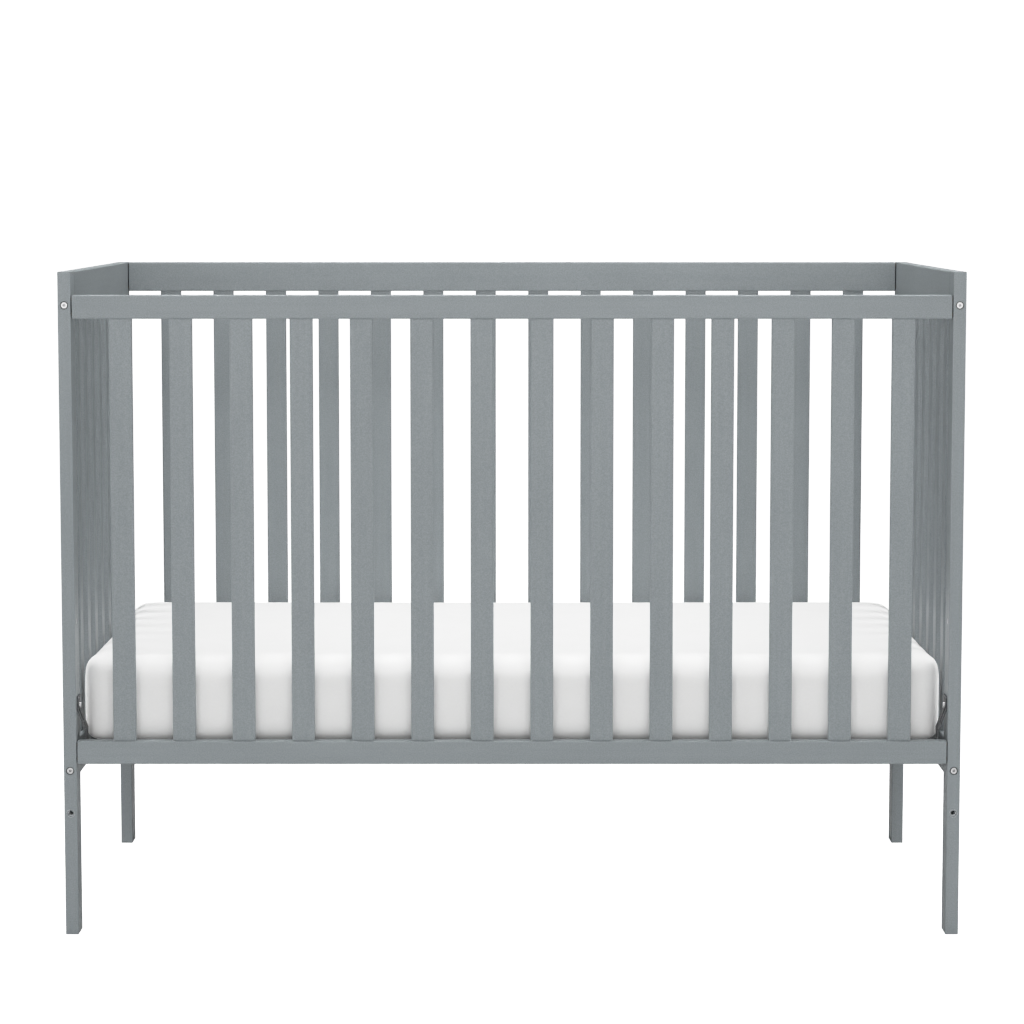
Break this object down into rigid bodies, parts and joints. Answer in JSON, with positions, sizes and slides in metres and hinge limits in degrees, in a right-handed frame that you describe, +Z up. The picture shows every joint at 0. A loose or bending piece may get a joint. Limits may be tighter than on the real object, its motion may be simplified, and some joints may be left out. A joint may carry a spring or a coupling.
{
  "type": "baby crib",
  "caption": "Slatted baby crib with slim square legs, flat rails, bolted slatted ends, a height-adjustable steel mattress support and a white mattress.",
  "frame": {"origin": "on the floor, midway between the four legs", "axes": "+X along the length, to the right seen from the front; +Y from the front to the back; +Z up"},
  "size_m": [1.37, 0.752, 1.015],
  "materials": {
    "frame_paint": "satin grey paint over fine-grained hardwood",
    "dowel_wood": "bare beech",
    "zinc_hardware": "bright zinc plate",
    "insert_paint": "painted over in the frame's grey, darker in the recess",
    "support_steel": "dark grey powder coat",
    "hanger_steel": "grey zinc plate",
    "mattress_cover": "white close-woven cotton cover"
  },
  "bodies": {
    "crib_frame": {"front_left_post": "frame_paint", "front_right_post": "frame_paint", "back_left_post": "frame_paint", "back_right_post": "frame_paint", "front_top_rail": "frame_paint", "front_bottom_rail": "frame_paint", "back_top_rail": "frame_paint", "back_bottom_rail": "frame_paint", "left_top_rail": "frame_paint", "left_bottom_rail": "frame_paint", "right_top_rail": "frame_paint", "right_bottom_rail": "frame_paint", "front_slat_01": "frame_paint", "front_slat_02": "frame_paint", "front_slat_03": "frame_paint", "front_slat_04": "frame_paint", "front_slat_05": "frame_paint", "front_slat_06": "frame_paint", "front_slat_07": "frame_paint", "front_slat_08": "frame_paint", "front_slat_09": "frame_paint", "front_slat_10": "frame_paint", "front_slat_11": "frame_paint", "front_slat_12": "frame_paint", "front_slat_13": "frame_paint", "front_slat_14": "frame_paint", "back_slat_01": "frame_paint", "back_slat_02": "frame_paint", "back_slat_03": "frame_paint", "back_slat_04": "frame_paint", "back_slat_05": "frame_paint", "back_slat_06": "frame_paint", "back_slat_07": "frame_paint", "back_slat_08": "frame_paint", "back_slat_09": "frame_paint", "back_slat_10": "frame_paint", "back_slat_11": "frame_paint", "back_slat_12": "frame_paint", "back_slat_13": "frame_paint", "back_slat_14": "frame_paint", "left_end_slats": "frame_paint", "right_end_slats": "frame_paint", "rail_dowels": "dowel_wood", "end_rail_dowels": "dowel_wood", "frame_bolts": "zinc_hardware", "barrel_nuts": "zinc_hardware", "hanger_bolts": "zinc_hardware", "hanger_inserts": "zinc_hardware", "leg_inserts": "insert_paint"},
    "mattress_support": {"support_front_angle": "support_steel", "support_back_angle": "support_steel", "support_left_angle": "support_steel", "support_right_angle": "support_steel", "support_long_wires": "support_steel", "support_cross_wires": "support_steel", "support_hangers": "hanger_steel", "hanger_rivets": "support_steel"},
    "mattress": {"mattress": "mattress_cover"}
  },
  "joints": [
    {"name": "support_height", "type": "slide", "parent": "crib_frame", "child": "mattress_support", "axis": [0, 0, 1], "range_m": [0, 0.1295]},
    {"name": "mattress_lift", "type": "slide", "parent": "mattress_support", "child": "mattress", "axis": [0, 0, 1], "range_m": [0, 0.75]}
  ]
}
